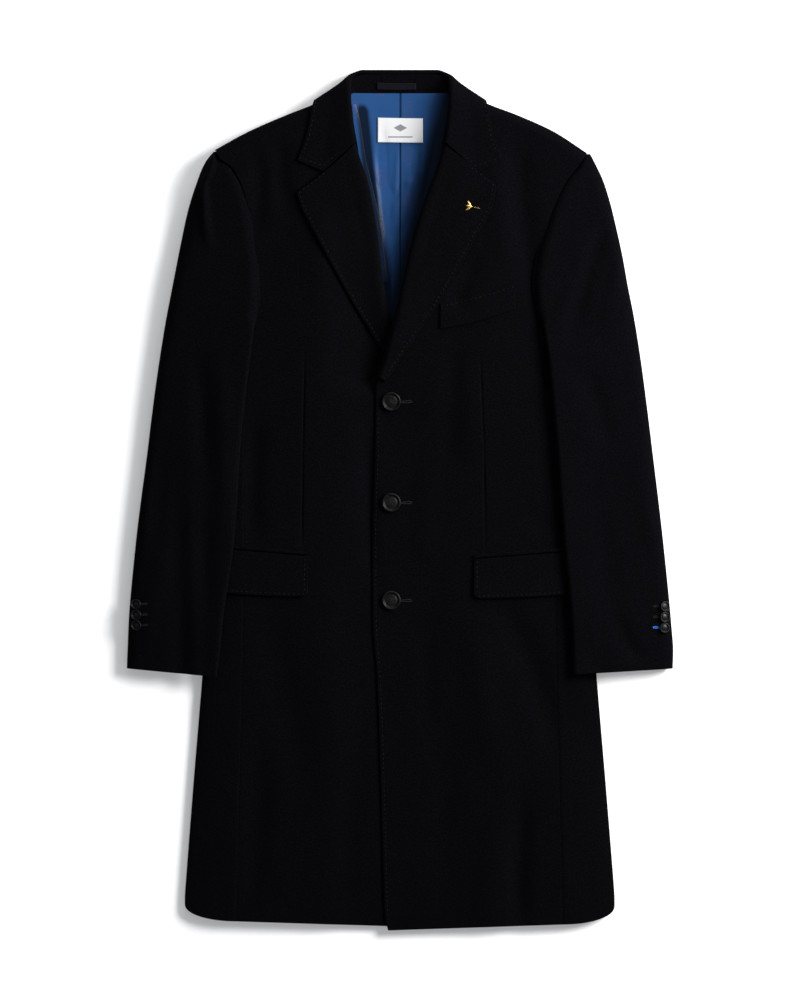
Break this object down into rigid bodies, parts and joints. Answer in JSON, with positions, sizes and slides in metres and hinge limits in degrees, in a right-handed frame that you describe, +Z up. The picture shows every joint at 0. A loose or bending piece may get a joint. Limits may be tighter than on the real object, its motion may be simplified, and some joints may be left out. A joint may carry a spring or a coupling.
{
  "type": "wool overcoat",
  "caption": "Dark navy single-breasted wool overcoat with notch lapels, laid flat on its back and buttoned, with a blue lining in the neck.",
  "frame": {"origin": "middle of the coat's box, on the surface that it lies on", "axes": "+X to the wearer's left, +Y to the collar, +Z up from the surface"},
  "size_m": [0.6909, 1.0882, 0.0403],
  "materials": {
    "wool_melton": "matte, softly napped",
    "lining_silk": "satin",
    "label_weave": "matte, woven",
    "loop_satin": "satin",
    "horn_button": "polished",
    "gilt_pin": "satin"
  },
  "bodies": {
    "root": {"back_left": "wool_melton", "back_lining_left": "lining_silk", "back_lining_right": "lining_silk", "back_right": "wool_melton", "chest_welt": "wool_melton", "collar_leaf": "wool_melton", "collar_stand": "wool_melton", "cuff_button_left_1": "horn_button", "cuff_button_left_2": "horn_button", "cuff_button_left_3": "horn_button", "cuff_button_right_1": "horn_button", "cuff_button_right_2": "horn_button", "cuff_button_right_3": "horn_button", "flap_left": "wool_melton", "flap_right": "wool_melton", "front_button_1": "horn_button", "front_button_2": "horn_button", "front_button_3": "horn_button", "front_left": "wool_melton", "front_lining_left": "lining_silk", "front_lining_right": "lining_silk", "front_right": "wool_melton", "hanger_loop": "loop_satin", "jetting_left": "wool_melton", "jetting_right": "wool_melton", "lapel_left": "wool_melton", "lapel_pin": "gilt_pin", "lapel_right": "wool_melton", "neck_label": "label_weave", "side_left": "wool_melton", "side_right": "wool_melton", "top_sleeve_left": "wool_melton", "top_sleeve_right": "wool_melton", "under_sleeve_left": "wool_melton", "under_sleeve_right": "wool_melton"}
  },
  "joints": []
}
